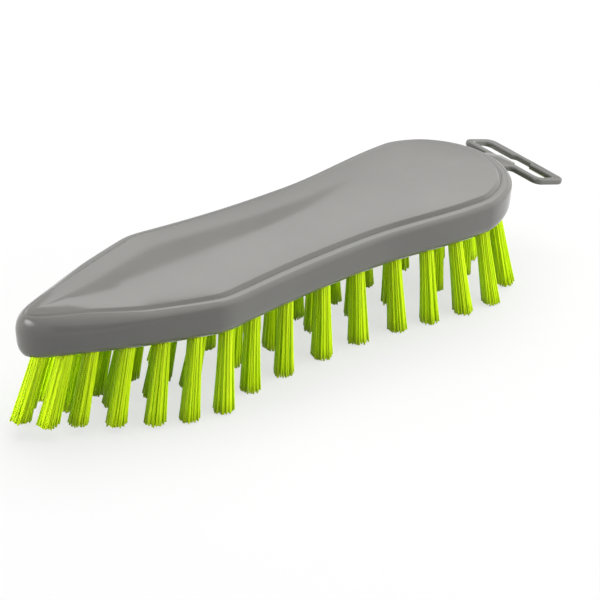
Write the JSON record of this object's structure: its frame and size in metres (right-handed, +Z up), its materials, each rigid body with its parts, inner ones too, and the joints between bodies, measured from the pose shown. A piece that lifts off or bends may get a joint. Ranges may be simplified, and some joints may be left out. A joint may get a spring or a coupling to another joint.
{
  "type": "scrub brush",
  "caption": "Hand scrub brush: pointed waisted plastic block with a raised top, splayed bristle tufts under it and a slotted hanging loop at the heel.",
  "frame": {"origin": "centre of the bounding box in plan, on the plane of the cut bristle tips that the brush stands on", "axes": "+X from the pointed nose to the heel with the hanging loop, +Y across the brush, +Z up through the block's top"},
  "size_m": [0.2218, 0.0632, 0.0445],
  "materials": {
    "grey_plastic": "satin moulded plastic",
    "lime_bristle": "satin drawn filament"
  },
  "bodies": {
    "root": {"block": "grey_plastic", "hanging_loop": "grey_plastic", "tuft_centre_1": "lime_bristle", "tuft_centre_2": "lime_bristle", "tuft_heel": "lime_bristle", "tuft_inner_left_01": "lime_bristle", "tuft_inner_left_02": "lime_bristle", "tuft_inner_left_03": "lime_bristle", "tuft_inner_left_04": "lime_bristle", "tuft_inner_left_05": "lime_bristle", "tuft_inner_left_06": "lime_bristle", "tuft_inner_left_07": "lime_bristle", "tuft_inner_left_08": "lime_bristle", "tuft_inner_left_09": "lime_bristle", "tuft_inner_left_10": "lime_bristle", "tuft_inner_right_01": "lime_bristle", "tuft_inner_right_02": "lime_bristle", "tuft_inner_right_03": "lime_bristle", "tuft_inner_right_04": "lime_bristle", "tuft_inner_right_05": "lime_bristle", "tuft_inner_right_06": "lime_bristle", "tuft_inner_right_07": "lime_bristle", "tuft_inner_right_08": "lime_bristle", "tuft_inner_right_09": "lime_bristle", "tuft_inner_right_10": "lime_bristle", "tuft_nose": "lime_bristle", "tuft_outer_left_01": "lime_bristle", "tuft_outer_left_02": "lime_bristle", "tuft_outer_left_03": "lime_bristle", "tuft_outer_left_04": "lime_bristle", "tuft_outer_left_05": "lime_bristle", "tuft_outer_left_06": "lime_bristle", "tuft_outer_left_07": "lime_bristle", "tuft_outer_left_08": "lime_bristle", "tuft_outer_left_09": "lime_bristle", "tuft_outer_left_10": "lime_bristle", "tuft_outer_left_11": "lime_bristle", "tuft_outer_left_12": "lime_bristle", "tuft_outer_left_13": "lime_bristle", "tuft_outer_left_14": "lime_bristle", "tuft_outer_left_15": "lime_bristle", "tuft_outer_right_01": "lime_bristle", "tuft_outer_right_02": "lime_bristle", "tuft_outer_right_03": "lime_bristle", "tuft_outer_right_04": "lime_bristle", "tuft_outer_right_05": "lime_bristle", "tuft_outer_right_06": "lime_bristle", "tuft_outer_right_07": "lime_bristle", "tuft_outer_right_08": "lime_bristle", "tuft_outer_right_09": "lime_bristle", "tuft_outer_right_10": "lime_bristle", "tuft_outer_right_11": "lime_bristle", "tuft_outer_right_12": "lime_bristle", "tuft_outer_right_13": "lime_bristle", "tuft_outer_right_14": "lime_bristle", "tuft_outer_right_15": "lime_bristle"}
  },
  "joints": []
}
